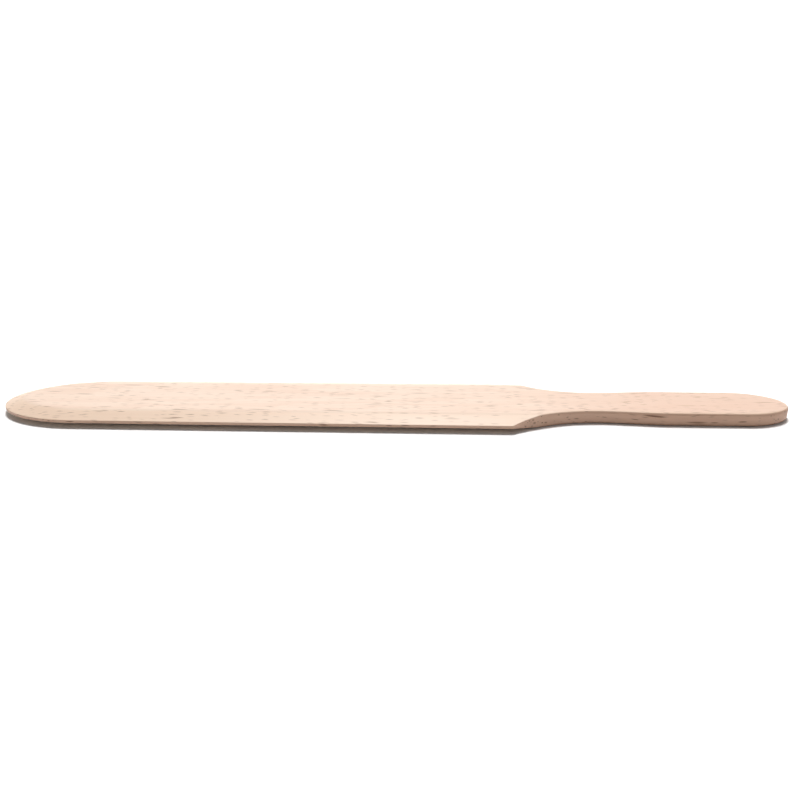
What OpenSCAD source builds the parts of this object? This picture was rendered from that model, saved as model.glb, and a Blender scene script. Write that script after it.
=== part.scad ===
// Crepe spatula cut from one flat beech board.
// X runs along the board, with the tip of the blade at -X and the butt of the handle at +X.
// The board lies flat: Z = 0 is its underside, and both faces have the same bevels.

/* [Board] */
// Thickness of the planed board
thickness = 5.8; // [4.6:0.1:9]

/* [Blade] */
// Length of the blade, from its tip to the shoulders
blade_len = 229; // [150:1:280]
// Width of the blade at the shoulders
blade_w = 54; // [44:0.5:70]
// Width of the blade where its rounded tip begins
tip_w = 53; // [46:0.5:64]
// Length of the rounded tip, half of an ellipse in plan
tip_len = 42; // [24:1:58]
// Width of the bevels that thin the blade down to its edge
bevel_w = 8; // [4:0.5:11]
// Thickness left at the thin edge
edge_t = 1.2; // [0.6:0.1:2.4]

/* [Handle] */
// Length of the handle, from the shoulders to the end of the butt
handle_len = 121; // [100:1:180]
// Length of the arcs that sweep in from the shoulders to the neck
sweep_len = 38; // [28:1:50]
// Width of the neck, where the handle is slimmest
neck_w = 24.4; // [16:0.2:32]
// Length over which the neck swells out to the grip
swell_len = 30; // [12:1:40]
// Width of the grip
grip_w = 28.4; // [20:0.2:38]
// Length of the rounded butt, half of an ellipse in plan
butt_len = 22; // [12:1:32]
// Radius sanded on the long edges of the handle
round_r = 1.4; // [0.5:0.1:2.1]
// Distance from the blade's centre line to the handle's, which is cut a little to one side
handle_shift = 2; // [0:0.1:4]

/* [Smoothness] */
// Steps round a quarter of the tip and of the butt
end_steps = 24; // [8:1:32]
// Steps along a shoulder's sweep
sweep_steps = 20; // [8:1:32]
// Steps along the swell of the handle
swell_steps = 10; // [4:1:20]
// Steps across a bevel or a rounded edge
edge_steps = 5; // [3:1:8]

/* [Hidden] */

length = blade_len + handle_len;
tip_x = -length / 2;
shoulder_x = tip_x + blade_len;
neck_x = shoulder_x + sweep_len;
butt_x = length / 2;

half_t = thickness / 2;
// Height that a bevel climbs, from the thin edge to the flat of the blade
bevel_rise = half_t - edge_t / 2;
// Share of its last step by which the shaped blank runs past the planed faces
over = 0.6;
// Room between the blank's outline and the sides of the planed slab, whose two faces alone cut it
slack = 5;

// 0 below 0, 1 above 1 and a smooth S between them
function smooth(t) = let (u = min(max(t, 0), 1)) u * u * (3 - 2 * u);

// A station across the board is [x, y of its middle, half width, inward direction].
// The inward direction runs from the rim into the board, as its parts along X and across.
across = [0, 1];

// Inward direction on an ellipse, from the cosine and sine of its angle and its half sizes
function ellipse_inward(c, s, size) = let (v = [c / size[0], s / size[1]]) v / norm(v);

// The rounded tip, from its nose to its full width
tip_stations = [
  for (i = [0:end_steps])
    let (a = 90 * i / end_steps, size = [tip_len, tip_w / 2])
      [
        tip_x + size[0] * (1 - cos(a)),
        0,
        size[1] * sin(a),
        ellipse_inward(cos(a), sin(a), size)
      ]
];

// A sweep is a circular arc from a shoulder to the neck, which it meets in line with the handle.
// side is -1 for the near side and 1 for the far side, and reach is measured from the blade's middle.
function neck_reach(side) = neck_w / 2 - side * handle_shift;
function sweep_drop(side) = blade_w / 2 - neck_reach(side);
function sweep_r(side) = (sweep_len ^ 2 + sweep_drop(side) ^ 2) / (2 * sweep_drop(side));
function sweep_reach(x, side) =
  neck_reach(side) + sweep_r(side) - sqrt(sweep_r(side) ^ 2 - (neck_x - x) ^ 2);

sweep_stations = [
  for (i = [0:sweep_steps])
    let (
      x = shoulder_x + sweep_len * i / sweep_steps,
      near = sweep_reach(x, -1),
      far = sweep_reach(x, 1)
    )
      [x, (far - near) / 2, (far + near) / 2, across]
];

// The neck swells out to the grip along half a cosine wave
swell_stations = [
  for (i = [1:swell_steps])
    let (t = i / swell_steps, w = neck_w + (grip_w - neck_w) * (1 - cos(180 * t)) / 2)
      [neck_x + swell_len * t, -handle_shift, w / 2, across]
];

// The rounded butt, from the full width of the grip to its end
butt_stations = [
  for (i = [0:end_steps])
    let (a = 90 * i / end_steps, size = [butt_len, grip_w / 2])
      [
        butt_x - size[0] * (1 - sin(a)),
        -handle_shift,
        size[1] * cos(a),
        ellipse_inward(-sin(a), cos(a), size)
      ]
];

stations = concat(tip_stations, sweep_stations, swell_stations, butt_stations);

// How far one side of the outline has cut in, behind the shoulders, from the line of the blade's edge
function cut_in(s, side) = s[0] <= shoulder_x ? 0 : blade_w / 2 - abs(s[1] + side * s[2]);

// The edge of the board where the outline has cut in by d, from the wall up to the flat face.
// Its points are [inset from the rim, height above the middle of the board].
// On the blade it is the whole bevel, along the sweep it is what the outline leaves of the bevel,
// and on the handle it is the rounded edge.
function edge_curve(d) =
  let (
    r = round_r * smooth(d / bevel_w - 0.5),
    wall = min(edge_t / 2 + bevel_rise * min(d / bevel_w, 1), half_t - r),
    start = [0, wall],
    end = [max(bevel_w - d, r), half_t],
    roundness = smooth(2 * d / bevel_w - 1.4),
    pull = (start + end) / 2 * (1 - roundness) + [0, half_t] * roundness
  )
    [
      for (j = [0:edge_steps])
        let (t = j / edge_steps)
          start * (1 - t) ^ 2 + pull * 2 * t * (1 - t) + end * t ^ 2
    ];

// The same edge with its last step run on past the flat face
function blank_edge(d) =
  let (curve = edge_curve(d), before = curve[edge_steps - 1])
    [for (j = [0:edge_steps]) before + (curve[j] - before) * (j < edge_steps ? 1 : 1 + over)];

// Where a point of an edge lies at a station. face is 1 for the top and -1 for the underside.
function skin_point(s, side, p, face) =
  [s[0] + s[3][0] * p[0], s[1] + side * (s[2] - s[3][1] * p[0]), face * p[1]];

// The closed ring of points round the board at a station
function ring(s) =
  let (near = blank_edge(cut_in(s, -1)), far = blank_edge(cut_in(s, 1)))
    concat(
      [for (j = [edge_steps:-1:0]) skin_point(s, -1, near[j], -1)],
      [for (j = [0:edge_steps]) skin_point(s, -1, near[j], 1)],
      [for (j = [edge_steps:-1:0]) skin_point(s, 1, far[j], 1)],
      [for (j = [0:edge_steps]) skin_point(s, 1, far[j], -1)]
    );

// The board's outline and edges, a little thicker than the planed board
module shaped_blank() {
  rings = [for (s = stations) ring(s)];
  points = [for (r = rings) each r];
  n = len(rings[0]);
  faces = [
    for (i = [0:len(rings) - 2], j = [0:n - 1])
      let (k = (j + 1) % n, a = i * n + j, b = i * n + k)
        for (face = [[a, b, b + n], [a, b + n, a + n]])
          // The first and last rings are closed up flat, so some of their faces have no area
          if (norm(cross(points[face[1]] - points[face[0]], points[face[2]] - points[face[0]])) > 0)
            face
  ];
  translate([0, 0, half_t])
    polyhedron(points = points, faces = faces, convexity = 4);
}

// The slab between the two planed faces
module planed_slab() {
  translate([-length / 2 - slack, -blade_w / 2 - slack, 0])
    cube([length + 2 * slack, blade_w + 2 * slack, thickness]);
}

module spatula() {
  color("#f3ddc8")
    intersection() {
      shaped_blank();
      planed_slab();
    }
}

spatula();
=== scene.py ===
import math

import bmesh
import bpy
import numpy as np
from mathutils import Matrix, Vector


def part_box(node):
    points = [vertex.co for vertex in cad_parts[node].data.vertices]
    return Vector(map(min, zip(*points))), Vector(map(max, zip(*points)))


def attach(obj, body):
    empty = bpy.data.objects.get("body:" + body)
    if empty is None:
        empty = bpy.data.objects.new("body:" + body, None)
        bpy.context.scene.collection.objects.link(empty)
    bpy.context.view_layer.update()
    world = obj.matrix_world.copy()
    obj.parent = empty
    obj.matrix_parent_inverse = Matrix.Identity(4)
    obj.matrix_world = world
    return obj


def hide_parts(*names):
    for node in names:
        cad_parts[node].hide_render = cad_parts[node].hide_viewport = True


# Crepe spatula of bare beech, lying on a pale floor.
# Lengths are in metres and angles in degrees.
# X runs from the tip of the blade to the butt of the handle.

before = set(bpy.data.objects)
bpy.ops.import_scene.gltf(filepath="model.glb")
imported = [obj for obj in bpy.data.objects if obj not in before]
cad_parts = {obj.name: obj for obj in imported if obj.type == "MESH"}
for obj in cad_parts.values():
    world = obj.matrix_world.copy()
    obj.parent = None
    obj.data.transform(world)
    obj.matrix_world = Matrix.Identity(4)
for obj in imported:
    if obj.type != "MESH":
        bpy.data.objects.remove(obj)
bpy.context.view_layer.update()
low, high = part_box("spatula")
MM = 0.001

# Shape of the board, beside the box that the frame gives
BLADE_LEN = 229 * MM
TIP_W = 53 * MM
TIP_LEN = 42 * MM
BEVEL_W = 8 * MM
EDGE_T = 1.2 * MM
SWEEP_LEN = 38 * MM
NECK_W = 24.4 * MM
SWELL_LEN = 30 * MM
GRIP_W = 28.4 * MM
BUTT_LEN = 22 * MM
ROUND_R = 1.4 * MM
HANDLE_SHIFT = 2 * MM

# How far sanding has softened the thin edge and the creases of the bevels
EDGE_SOFTNESS = 0.14 * MM
CREASE_SOFTNESS = 1.1 * MM
CREASE_REACH = 2.5 * MM

# Spacing of the fine mesh along and across the board
END_STEPS = 80
BLADE_STEPS = 190
SWEEP_STEPS = 70
SWELL_STEPS = 36
GRIP_STEPS = 30
LAND_STEPS = 14

# Spacing of the fine mesh from the middle of the wall up to the flat, in four runs.
# The second run holds the top of the wall, and shares of the bevel bound the next.
CURVE_POINTS = 60
SAMPLE_GAP = 0.03 * MM
FLAT_RUN = 1.6 * MM
RUN_STEPS = (3, 7, 6, 9)
WALL_SHARE = 0.7
LIP_SHARE = 0.08
BEVEL_SHARE = 0.7
NO_DISTANCE = 1e-9
MERGE_DISTANCE = 0.002 * MM
LEAST_EDGE = 0.001 * MM

# Camera, from the photograph's view of the object
PHOTO_SIZE = 800
FOCAL_PIXELS = 681.4
CAMERA_ELEVATION = 20.0
CAMERA_YAW = 2.99
CAMERA_ROLL = -0.43
CAMERA_DISTANCE = 321.5 * MM
CAMERA_TARGET = Vector((5.35 * MM, 12.8 * MM, 0))
CLIP_START = 1 * MM
SENSOR = 36.0

# Light. The backdrop glows behind the object, and the camera sees it and the floor as white.
SUN_ELEVATION = 68.0
SUN_STRENGTH = 3.0
SUN_SIZE = 16.0
SKY_STRENGTH = 0.17
BACKDROP_GLOW = 2.1
GLOW_RANGE = (0.35, 0.95)
BACKDROP_SEEN = 4.0
FLOOR_GREY = 0.8
FLOOR_SEEN = 1.05
FLOOR_SIZE = 60.0

# Beech, as linear colours
BLADE_COLOUR = (0.68, 0.52, 0.405)
# The bevels' colour is painted light: lighter and warmer than the blade, standing in for the light
# they catch.
PAINTED_BEVEL_LIGHT = (0.76, 0.565, 0.42)
GRIP_COLOUR = (0.62, 0.415, 0.30)
RING_COLOUR = (0.58, 0.35, 0.23)
FLECK_COLOUR = (0.14, 0.06, 0.03)
# The edges' colour is partly the edge grain's own warmer tone and partly painted shade, the deeper
# tone of shaded walls.
EDGE_TONE_AND_SHADE_COLOUR = (0.78, 0.47, 0.33)
GRIP_FADE = 20 * MM

# How strongly each colour covers the wood below it
STREAK_TINT = 0.22
RING_TINT = 0.20
FIBRE_TINT = 0.45
# The bevels' tint is painted light. The edges' tint is partly their own tone and partly painted shade.
PAINTED_BEVEL_LIGHT_TINT = 0.85
EDGE_TONE_AND_SHADE_TINT = 0.6
FLECK_TINT = 0.85

# Where the painted light on a bevel starts and is full, and where the edges' warmer tone and painted
# shade start and are full, by how upright the surface is. That is 1 on the flat faces and 0 on a wall.
PAINTED_BEVEL_LIGHT_FROM_FLAT = (0.998, 0.968)
PAINTED_BEVEL_LIGHT_FROM_WALL = (0.80, 0.92)
EDGE_TONE_AND_SHADE_FROM_FLAT = (1.0, 0.2)

# Growth rings of the log that the board was sawn from. The pith lies below the board.
PITH_Y = 12 * MM
PITH_DEPTH = 70 * MM
RING_GAP = 2.6 * MM
RING_WAVER = 2.2
LATE_RISE = (0.35, 0.93)
LATE_FALL = (1.0, 0.94)

# Slope of the grain in the board and across it, and how far it wanders
GRAIN_SLOPE = 0.018
GRAIN_DIP = 0.03
WANDER = 6 * MM

# Size of the patches of each noise, along the grain, across it and through the board
WANDER_SIZE = (90 * MM, 40 * MM, 60 * MM)
WAVER_SIZE = (70 * MM, 9 * MM, 9 * MM)
FIBRE_SIZE = (26 * MM, 0.45 * MM, 0.9 * MM)
STREAK_SIZE = (80 * MM, 3 * MM, 6 * MM)
FIBRE_RANGE = (0.42, 0.8)
STREAK_RANGE = (0.3, 0.75)

# Ray flecks of two sizes, each in some of the cells of a grid of this size
SMALL_CELL = (6.5 * MM, 0.55 * MM, 0.8 * MM)
SMALL_SHARE = 0.50
SMALL_OFFSET = (0, 0, 0)
LARGE_CELL = (17 * MM, 1.15 * MM, 1.6 * MM)
LARGE_SHARE = 0.15
LARGE_OFFSET = (7.3, 1.7, 4.1)
FLECK_REACH = 0.22
FLECK_FADE = (1.0, 0.35)
FAINTEST_FLECK = 0.4

# Finish of the bare wood
ROUGHNESS = 0.38
FIBRE_ROUGHNESS = 0.16
FLECK_ROUGHNESS = 0.4
BUMP_STRENGTH = 0.6
BUMP_HEIGHT = 0.03 * MM
FLECK_DIP = 0.4


def smooth(t):
    """0 below 0, 1 above 1 and a smooth S between them."""
    u = np.clip(t, 0, 1)
    return u * u * (3 - 2 * u)


class Board:
    """The board's driving places, worked out from the frame's box and the named sizes."""

    tip_x = low.x
    butt_x = high.x
    half_w = (high.y - low.y) / 2
    half_t = (high.z - low.z) / 2
    mid_z = (high.z + low.z) / 2
    shoulder_x = low.x + BLADE_LEN
    neck_x = shoulder_x + SWEEP_LEN
    grip_x = neck_x + SWELL_LEN
    bevel_rise = half_t - EDGE_T / 2


def ellipse_inward(c, s, along, half):
    """Direction from an ellipse's rim into it, as its parts along X and across."""
    v = np.stack([c / along, s / half], -1)
    return v / np.linalg.norm(v, axis=-1, keepdims=True)


def sweep_reach(x, side):
    """Distance of a sweep's arc from the blade's middle. side is -1 near and 1 far."""
    neck = NECK_W / 2 - side * HANDLE_SHIFT
    drop = Board.half_w - neck
    radius = (SWEEP_LEN**2 + drop**2) / (2 * drop)
    return neck + radius - np.sqrt(radius**2 - (Board.neck_x - x) ** 2)


def stations():
    """Places along the board: x, y of the middle, half width and inward direction of each."""
    quarter = np.linspace(0, math.pi / 2, END_STEPS + 1)
    c, s = np.cos(quarter), np.sin(quarter)
    c[-1] = 0
    across = np.array([0.0, 1.0])
    parts = []

    def add(x, mid, half, inward):
        inward = np.broadcast_to(inward, (len(x), 2))
        parts.append(np.column_stack([x, np.broadcast_to(mid, x.shape), half, inward]))

    x = Board.tip_x + TIP_LEN * (1 - c)
    add(x, 0.0, TIP_W / 2 * s, ellipse_inward(c, s, TIP_LEN, TIP_W / 2))

    t = np.linspace(0, 1, BLADE_STEPS + 1)[1:-1]
    blade_x = Board.tip_x + TIP_LEN
    x = blade_x + (Board.shoulder_x - blade_x) * t
    add(x, 0.0, TIP_W / 2 + (Board.half_w - TIP_W / 2) * t, across)

    x = Board.shoulder_x + SWEEP_LEN * np.linspace(0, 1, SWEEP_STEPS + 1)
    near, far = sweep_reach(x, -1), sweep_reach(x, 1)
    add(x, (far - near) / 2, (far + near) / 2, across)

    t = np.linspace(0, 1, SWELL_STEPS + 1)[1:]
    w = NECK_W + (GRIP_W - NECK_W) * (1 - np.cos(math.pi * t)) / 2
    add(Board.neck_x + SWELL_LEN * t, -HANDLE_SHIFT, w / 2, across)

    t = np.linspace(0, 1, GRIP_STEPS + 1)[1:-1]
    x = Board.grip_x + (Board.butt_x - BUTT_LEN - Board.grip_x) * t
    add(x, -HANDLE_SHIFT, np.full(len(t), GRIP_W / 2), across)

    x = Board.butt_x - BUTT_LEN * (1 - s)
    add(x, -HANDLE_SHIFT, GRIP_W / 2 * c, ellipse_inward(-s, c, BUTT_LEN, GRIP_W / 2))
    return np.concatenate(parts)


def cut_in(st, side):
    """How far the outline has cut in, behind the shoulders, from the line of the blade's edge."""
    reach = np.abs(st[:, 1] + side * st[:, 2])
    return np.where(st[:, 0] <= Board.shoulder_x + NO_DISTANCE, 0.0, Board.half_w - reach)


def edge_curve(d):
    """The CAD's edge where the outline has cut in by d, from the top of the wall to the flat.
    Its points are [inset from the rim, height above the middle of the board]."""
    r = ROUND_R * float(smooth(d / BEVEL_W - 0.5))
    wall = min(EDGE_T / 2 + Board.bevel_rise * min(d / BEVEL_W, 1), Board.half_t - r)
    start = np.array([0, wall])
    end = np.array([max(BEVEL_W - d, r), Board.half_t])
    roundness = float(smooth(2 * d / BEVEL_W - 1.4))
    pull = (start + end) / 2 * (1 - roundness) + np.array([0, Board.half_t]) * roundness
    t = np.linspace(0, 1, CURVE_POINTS)[:, None]
    return start * (1 - t) ** 2 + pull * 2 * t * (1 - t) + end * t**2


def read_off(places, length, path):
    """The points of path at these places. length is how far along it each of its points lies."""
    return np.stack([np.interp(places, length, path[:, i]) for i in range(2)], -1)


def soften(path, sigma):
    """path smoothed along its own points, which are evenly spaced. sigma is in points."""
    reach = int(3 * sigma) + 1
    k = np.exp(-0.5 * (np.arange(-reach, reach + 1) / sigma) ** 2)
    k /= k.sum()
    mirrored = path[1 : reach + 1][::-1] * [1, -1]
    step = path[-1] - path[-2]
    run_on = path[-1] + step * np.arange(1, reach + 1)[:, None]
    whole = np.concatenate([mirrored, path, run_on])
    return np.stack([np.convolve(whole[:, i], k, "valid") for i in range(2)], -1)


def run_places(wall, crease, end):
    """Where the mesh's points lie along an edge, closest together round the top of the wall."""
    bevel = crease - wall
    bounds = [0, wall * WALL_SHARE, wall + LIP_SHARE * bevel, wall + BEVEL_SHARE * bevel, end]
    runs = zip(bounds, bounds[1:], RUN_STEPS)
    return np.concatenate([np.linspace(a, b, n, endpoint=False) for a, b, n in runs] + [[end]])


def edge_path(d):
    """The softened edge where the outline has cut in by d, from the middle of the wall to the flat."""
    curve = edge_curve(d)
    corner = np.concatenate([[[0, 0]], curve, [curve[-1] + [FLAT_RUN, 0]]])
    length = np.concatenate([[0], np.cumsum(np.linalg.norm(np.diff(corner, axis=0), axis=1))])
    crease, end = length[-2:]
    s = np.linspace(0, end, int(end / SAMPLE_GAP))
    even = read_off(s, length, corner)
    fine = soften(even, EDGE_SOFTNESS / s[1])
    wide = soften(even, CREASE_SOFTNESS / s[1])
    # The crease alone is softened widely, and less and less along the sweep, where it ends
    on_bevel = 1 - float(smooth(d / BEVEL_W))
    mix = np.exp(-(((s - crease) / CREASE_REACH) ** 2)) * on_bevel
    path = fine + (wide - fine) * mix[:, None]
    return read_off(run_places(curve[0, 1], crease, end), s, path)


def board_mesh():
    """Vertices and faces of the board, as rings round it at each station."""
    st = stations()
    edges = {side: [edge_path(d) for d in cut_in(st, side)] for side in (-1, 1)}
    rings = []
    for i, (x, mid, half, in_x, in_y) in enumerate(st):
        rails = {}
        for side in (-1, 1):
            p = edges[side][i]
            y = mid + side * (half - in_y * p[:, 0])
            rails[side] = np.stack([x + in_x * p[:, 0], y, p[:, 1]], -1)
        t = np.linspace(0, 1, LAND_STEPS + 1)[1:-1, None]
        land = rails[-1][-1] * (1 - t) + rails[1][-1] * t
        top = np.concatenate([rails[-1], land, rails[1][::-1]])
        under = (top * [1, 1, -1])[::-1][1:-1]
        rings.append(np.concatenate([top, under]))
    rings = np.array(rings)
    count, n = rings.shape[:2]
    i, j = np.meshgrid(np.arange(count - 1), np.arange(n), indexing="ij")
    k = (j + 1) % n
    faces = np.stack([i * n + j, i * n + k, (i + 1) * n + k, (i + 1) * n + j], -1)
    return rings.reshape(-1, 3), faces.reshape(-1, 4)


def make_board():
    """The board as one smooth mesh. Its end rings are closed up flat, so their points merge."""
    points, faces = board_mesh()
    points[:, 2] += Board.mid_z
    mesh = bpy.data.meshes.new("spatula_board")
    mesh.from_pydata(points.tolist(), [], faces.tolist())
    bm = bmesh.new()
    bm.from_mesh(mesh)
    bmesh.ops.remove_doubles(bm, verts=bm.verts, dist=MERGE_DISTANCE)
    bmesh.ops.dissolve_degenerate(bm, edges=bm.edges, dist=LEAST_EDGE)
    bmesh.ops.recalc_face_normals(bm, faces=bm.faces)
    for f in bm.faces:
        f.smooth = True
    bm.to_mesh(mesh)
    bm.free()
    board = bpy.data.objects.new("spatula_board", mesh)
    bpy.context.scene.collection.objects.link(board)
    return board


class Nodes:
    """Builds a node tree by short calls that return sockets."""

    def __init__(self, tree):
        self.tree = tree

    def add(self, kind, *inputs, **settings):
        """A new node. Its inputs are given in order, as sockets or as values."""
        n = self.tree.nodes.new("ShaderNode" + kind)
        for key, value in settings.items():
            setattr(n, key, value)
        for socket, value in zip(n.inputs, inputs):
            self.feed(socket, value)
        return n

    def feed(self, socket, value):
        """Links a socket to an input, or sets the input to a value."""
        if isinstance(value, bpy.types.NodeSocket):
            self.tree.links.new(value, socket)
        else:
            socket.default_value = value

    def math(self, operation, *inputs):
        return self.add("Math", *inputs, operation=operation).outputs[0]

    def vector(self, operation, *inputs):
        return self.add("VectorMath", *inputs, operation=operation).outputs[0]

    def split(self, vector):
        return self.add("SeparateXYZ", vector).outputs

    def join(self, x, y, z):
        return self.add("CombineXYZ", x, y, z).outputs[0]

    def ramp(self, value, start, stop, first=0.0, last=1.0):
        """value as a smooth step from first to last between start and stop."""
        step = self.add("MapRange", value, start, stop, first, last, interpolation_type="SMOOTHSTEP")
        return step.outputs[0]

    def noise(self, place, size, detail, roughness=0.5):
        """Noise with patches of this size along X, Y and Z."""
        n = self.add("TexNoise")
        self.feed(n.inputs["Vector"], self.vector("DIVIDE", place, size))
        self.feed(n.inputs["Scale"], 1.0)
        self.feed(n.inputs["Detail"], detail)
        self.feed(n.inputs["Roughness"], roughness)
        return n.outputs["Fac"]

    def cells(self, place):
        """Distance to the middle of the nearest cell, and that cell's own random colour."""
        n = self.add("TexVoronoi")
        self.feed(n.inputs["Vector"], place)
        self.feed(n.inputs["Scale"], 1.0)
        return n.outputs["Distance"], n.outputs["Color"]

    def blend(self, share, a, b):
        """Colour a with this share of colour b over it."""
        n = self.add("Mix", data_type="RGBA")
        for name, value in (("Factor", share), ("A", a), ("B", b)):
            socket = [i for i in n.inputs if i.name == name and i.enabled][0]
            self.feed(socket, value + (1.0,) if isinstance(value, tuple) else value)
        return [o for o in n.outputs if o.enabled][0]

    def tint(self, base, mask, strength, colour):
        """base with a colour over it where mask is 1, at this strength."""
        return self.blend(self.math("MULTIPLY", mask, strength), base, colour)


def along_grain(nodes, place):
    """place turned into the grain, which slopes in the board and wanders a little."""
    wander = nodes.noise(place, WANDER_SIZE, detail=1.0)
    drift = nodes.math("MULTIPLY_ADD", wander, WANDER, -WANDER / 2)
    x, y, z = nodes.split(place)
    y = nodes.math("ADD", nodes.math("MULTIPLY_ADD", x, GRAIN_SLOPE, y), drift)
    z = nodes.math("ADD", nodes.math("MULTIPLY_ADD", x, GRAIN_DIP, z), drift)
    return nodes.join(x, y, z)


def late_wood(nodes, grain):
    """1 in the thin dark line that ends each growth ring, down to 0 in its pale early wood."""
    from_pith = nodes.vector("SUBTRACT", grain, (0, PITH_Y, -PITH_DEPTH))
    square = nodes.vector("MULTIPLY", from_pith, (0, 1, 1))
    distance = nodes.add("VectorMath", square, operation="LENGTH").outputs["Value"]
    count = nodes.math("DIVIDE", distance, RING_GAP)
    waver = nodes.noise(grain, WAVER_SIZE, detail=3.0)
    ring = nodes.math("FRACT", nodes.math("MULTIPLY_ADD", waver, RING_WAVER, count))
    return nodes.math("MULTIPLY", nodes.ramp(ring, *LATE_RISE), nodes.ramp(ring, *LATE_FALL))


def flecks(nodes, grain, cell, share, offset):
    """Spindle-shaped ray flecks that lie along the grain, in this share of their cells."""
    stretched = nodes.vector("DIVIDE", grain, cell)
    distance, colour = nodes.cells(nodes.vector("ADD", stretched, offset))
    chance, size, dark = nodes.split(colour)
    reach = nodes.math("MULTIPLY_ADD", size, FLECK_REACH, FLECK_REACH)
    shape = nodes.ramp(nodes.math("DIVIDE", distance, reach), *FLECK_FADE)
    shown = nodes.math("LESS_THAN", chance, share)
    strength = nodes.math("MULTIPLY_ADD", dark, 1 - FAINTEST_FLECK, FAINTEST_FLECK)
    return nodes.math("MULTIPLY", nodes.math("MULTIPLY", shape, shown), strength)


def wood_colour(nodes, place, grain, fibre, fleck):
    """Colour of the wood: warmer tan on the grip, dark flecks, painted light on the bevels, and walls
    warmer, partly by their own grain and partly by painted shade.
    """
    grip = nodes.ramp(nodes.split(place)[0], Board.shoulder_x - GRIP_FADE, Board.grip_x)
    base = nodes.blend(grip, BLADE_COLOUR, GRIP_COLOUR)
    streak = nodes.ramp(nodes.noise(grain, STREAK_SIZE, detail=2.0), *STREAK_RANGE)
    base = nodes.tint(base, streak, STREAK_TINT, RING_COLOUR)
    base = nodes.tint(base, late_wood(nodes, grain), RING_TINT, RING_COLOUR)
    base = nodes.tint(base, nodes.ramp(fibre, *FIBRE_RANGE), FIBRE_TINT, RING_COLOUR)

    normal = nodes.add("TexCoord").outputs["Normal"]
    upright = nodes.math("ABSOLUTE", nodes.split(normal)[2])
    off_flat = nodes.ramp(upright, *PAINTED_BEVEL_LIGHT_FROM_FLAT)
    off_wall = nodes.ramp(upright, *PAINTED_BEVEL_LIGHT_FROM_WALL)
    # Painted light: the bevels are tinted lighter and warmer, standing in for the light they catch.
    base = nodes.tint(base, nodes.math("MULTIPLY", off_flat, off_wall), PAINTED_BEVEL_LIGHT_TINT, PAINTED_BEVEL_LIGHT)
    # The walls are tinted warmer and deeper: partly the edge grain's own tone, partly painted shade.
    base = nodes.blend(nodes.ramp(upright, *EDGE_TONE_AND_SHADE_FROM_FLAT, 0.0, EDGE_TONE_AND_SHADE_TINT), base, EDGE_TONE_AND_SHADE_COLOUR)
    return nodes.tint(base, fleck, FLECK_TINT, FLECK_COLOUR)


def beech():
    """Bare beech, laid out by places in the board and not by its faces."""
    material = bpy.data.materials.new("beech")
    material.use_nodes = True
    tree = material.node_tree
    nodes = Nodes(tree)
    place = nodes.add("TexCoord").outputs["Object"]
    grain = along_grain(nodes, place)
    fibre = nodes.noise(grain, FIBRE_SIZE, detail=4.0, roughness=0.6)
    small = flecks(nodes, grain, SMALL_CELL, SMALL_SHARE, SMALL_OFFSET)
    large = flecks(nodes, grain, LARGE_CELL, LARGE_SHARE, LARGE_OFFSET)
    fleck = nodes.math("MAXIMUM", small, large)

    rough = nodes.math("MULTIPLY_ADD", fibre, FIBRE_ROUGHNESS, ROUGHNESS)
    rough = nodes.math("MULTIPLY_ADD", fleck, FLECK_ROUGHNESS, rough)
    bump = nodes.add("Bump")
    nodes.feed(bump.inputs["Strength"], BUMP_STRENGTH)
    nodes.feed(bump.inputs["Distance"], BUMP_HEIGHT)
    nodes.feed(bump.inputs["Height"], nodes.math("MULTIPLY_ADD", fleck, -FLECK_DIP, fibre))

    shader = tree.nodes["Principled BSDF"]
    nodes.feed(shader.inputs["Base Color"], wood_colour(nodes, place, grain, fibre, fleck))
    nodes.feed(shader.inputs["Roughness"], rough)
    nodes.feed(shader.inputs["Normal"], bump.outputs["Normal"])
    return material


def make_camera():
    camera = bpy.data.objects.new("camera", bpy.data.cameras.new("camera"))
    bpy.context.scene.collection.objects.link(camera)
    camera.data.sensor_width = SENSOR
    camera.data.lens = FOCAL_PIXELS / PHOTO_SIZE * SENSOR
    camera.data.clip_start = CLIP_START
    elevation, yaw, roll = (math.radians(a) for a in (CAMERA_ELEVATION, CAMERA_YAW, CAMERA_ROLL))
    turn = (
        Matrix.Rotation(yaw, 4, "Z")
        @ Matrix.Rotation(math.pi / 2 - elevation, 4, "X")
        @ Matrix.Rotation(roll, 4, "Z")
    )
    back = turn @ Vector((0, 0, CAMERA_DISTANCE))
    camera.matrix_world = Matrix.Translation(CAMERA_TARGET + back) @ turn
    bpy.context.scene.camera = camera


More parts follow.
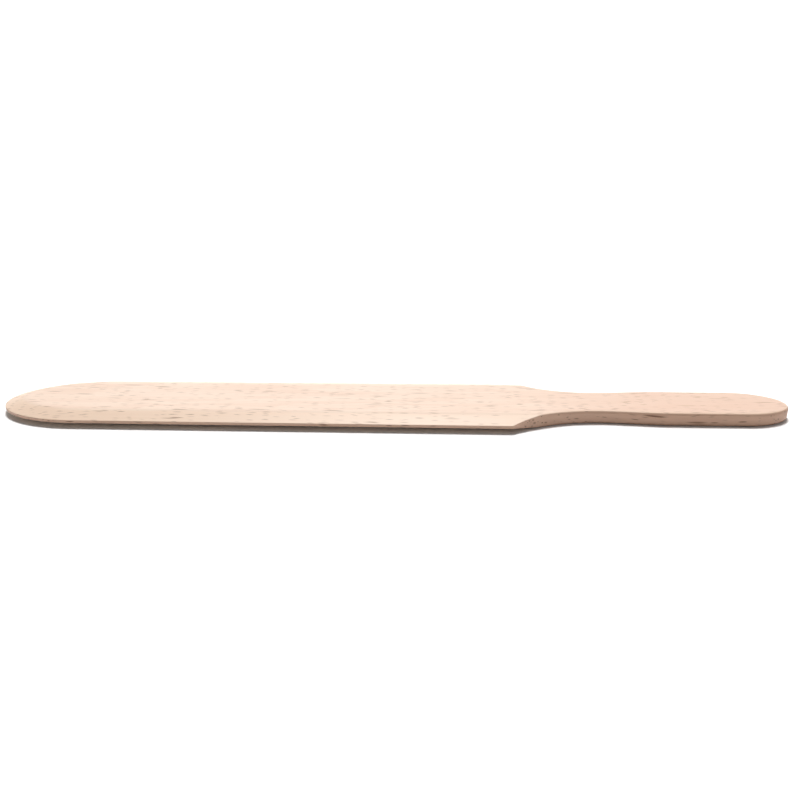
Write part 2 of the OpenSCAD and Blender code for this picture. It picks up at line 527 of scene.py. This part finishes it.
def make_sun():
    lamp = bpy.data.lights.new("sun", "SUN")
    lamp.energy = SUN_STRENGTH
    lamp.angle = math.radians(SUN_SIZE)
    sun = bpy.data.objects.new("sun", lamp)
    bpy.context.scene.collection.objects.link(sun)
    sun.rotation_euler = (-math.radians(90 - SUN_ELEVATION), 0, 0)


def make_backdrop():
    """A dim studio whose far side glows. The camera sees it as plain white."""
    world = bpy.data.worlds.new("studio")
    world.use_nodes = True
    tree = world.node_tree
    nodes = Nodes(tree)
    white = (1, 1, 1, 1)
    sky = tree.nodes["Background"]
    y = nodes.split(nodes.add("TexCoord").outputs["Generated"])[1]
    glow = nodes.ramp(y, *GLOW_RANGE, SKY_STRENGTH, SKY_STRENGTH + BACKDROP_GLOW)
    nodes.feed(sky.inputs["Color"], white)
    nodes.feed(sky.inputs["Strength"], glow)
    seen = nodes.add("Background", white, BACKDROP_SEEN)
    by_camera = nodes.add("LightPath").outputs["Is Camera Ray"]
    mix = nodes.add("MixShader", by_camera, sky.outputs[0], seen.outputs[0])
    nodes.feed(tree.nodes["World Output"].inputs["Surface"], mix.outputs[0])
    bpy.context.scene.world = world


def make_floor():
    """A floor that lights the board as grey and that the camera sees as white."""
    h = FLOOR_SIZE / 2
    corners = [(x, y, low.z) for x, y in ((-h, -h), (h, -h), (h, h), (-h, h))]
    mesh = bpy.data.meshes.new("floor")
    mesh.from_pydata(corners, [], [(0, 1, 2, 3)])
    floor = bpy.data.objects.new("floor", mesh)
    bpy.context.scene.collection.objects.link(floor)
    material = bpy.data.materials.new("floor")
    material.use_nodes = True
    tree = material.node_tree
    nodes = Nodes(tree)
    lit = nodes.add("BsdfDiffuse", (FLOOR_GREY, FLOOR_GREY, FLOOR_GREY, 1))
    seen = nodes.add("BsdfDiffuse", (FLOOR_SEEN, FLOOR_SEEN, FLOOR_SEEN, 1))
    by_camera = nodes.add("LightPath").outputs["Is Camera Ray"]
    mix = nodes.add("MixShader", by_camera, lit.outputs[0], seen.outputs[0])
    nodes.feed(tree.nodes["Material Output"].inputs["Surface"], mix.outputs[0])
    mesh.materials.append(material)


bpy.context.scene.view_settings.view_transform = "Standard"
make_camera()
make_sun()
make_backdrop()
make_floor()
board = make_board()
board.data.materials.append(beech())
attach(board, "root")
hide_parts("spatula")
